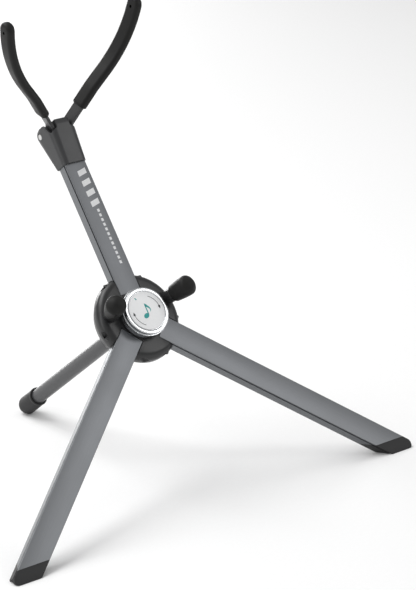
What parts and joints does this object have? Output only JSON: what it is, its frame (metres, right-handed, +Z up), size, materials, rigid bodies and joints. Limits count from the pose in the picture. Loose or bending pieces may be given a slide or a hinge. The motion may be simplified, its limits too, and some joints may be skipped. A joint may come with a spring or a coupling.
{
  "type": "saxophone stand",
  "caption": "Folding floor stand for a saxophone: clamp hub with hand knob, splayed profile legs, tube leg behind, leaning arm with a rubber-sleeved fork.",
  "frame": {"origin": "on the floor, in the middle of the object's box from left to right and from front to back", "axes": "+Z up, +Y from the front legs towards the rear foot, X across"},
  "size_m": [0.4364, 0.3078, 0.4088],
  "materials": {
    "black_plastic": "satin black moulded plastic",
    "inner_plastic": "plain black moulded plastic",
    "anodised_profile": "satin graphite anodised aluminium",
    "coated_tube": "satin dark grey coating",
    "black_steel": "black coated steel",
    "soft_rubber": "soft charcoal rubber",
    "foot_rubber": "dark grey rubber",
    "bright_knob": "bright plated, knurled",
    "label": "white printed label",
    "nylon": "natural nylon",
    "zinc_steel": "bright zinc plate"
  },
  "bodies": {
    "hub": {"hub_housing": "black_plastic", "hub_back_cover": "black_plastic", "hub_screws": "zinc_steel", "spindle": "zinc_steel", "disc_spring": "zinc_steel", "thrust_washer": "nylon", "left_peg_stem": "black_steel", "right_peg_stem": "black_steel", "left_peg_cap": "soft_rubber", "right_peg_cap": "soft_rubber", "arm_hinge_pin": "black_steel", "left_hinge_pin": "black_steel", "right_hinge_pin": "black_steel", "rear_socket": "black_plastic", "socket_screw": "zinc_steel", "rear_tube": "coated_tube", "rear_foot_cap": "foot_rubber"},
    "knob": {"knob": "bright_knob", "knob_label": "label"},
    "arm": {"arm_profile": "anodised_profile", "arm_hinge_insert": "inner_plastic", "arm_top_plug": "inner_plastic", "fork_block": "black_plastic", "block_screw": "zinc_steel"},
    "left_leg": {"left_leg_profile": "anodised_profile", "left_hinge_insert": "inner_plastic", "left_foot_cap": "foot_rubber"},
    "right_leg": {"right_leg_profile": "anodised_profile", "right_hinge_insert": "inner_plastic", "right_foot_cap": "foot_rubber"},
    "fork": {"fork_pin": "zinc_steel", "left_prong": "black_steel", "right_prong": "black_steel", "left_prong_sleeve": "soft_rubber", "right_prong_sleeve": "soft_rubber"}
  },
  "joints": [
    {"name": "knob_turn", "type": "hinge", "parent": "hub", "child": "knob", "pos_m": [0, -0.04359, 0.15365], "axis": [0, -0.7934, 0.6088], "range_deg": [0, 90]},
    {"name": "arm_fold", "type": "hinge", "parent": "hub", "child": "arm", "pos_m": [0, -0.01357, 0.17347], "axis": [-1, 0, 0], "range_deg": [0, 90]},
    {"name": "left_leg_fold", "type": "hinge", "parent": "hub", "child": "left_leg", "pos_m": [-0.02527, -0.04812, 0.12845], "axis": [0.6691, -0.4524, -0.5896], "range_deg": [0, 90]},
    {"name": "right_leg_fold", "type": "hinge", "parent": "hub", "child": "right_leg", "pos_m": [0.02527, -0.04812, 0.12845], "axis": [0.6691, 0.4524, 0.5896], "range_deg": [0, 90]},
    {"name": "fork_tilt", "type": "hinge", "parent": "arm", "child": "fork", "pos_m": [0, 0.08499, 0.28755], "axis": [-1, 0, 0], "range_deg": [0, 52]}
  ]
}
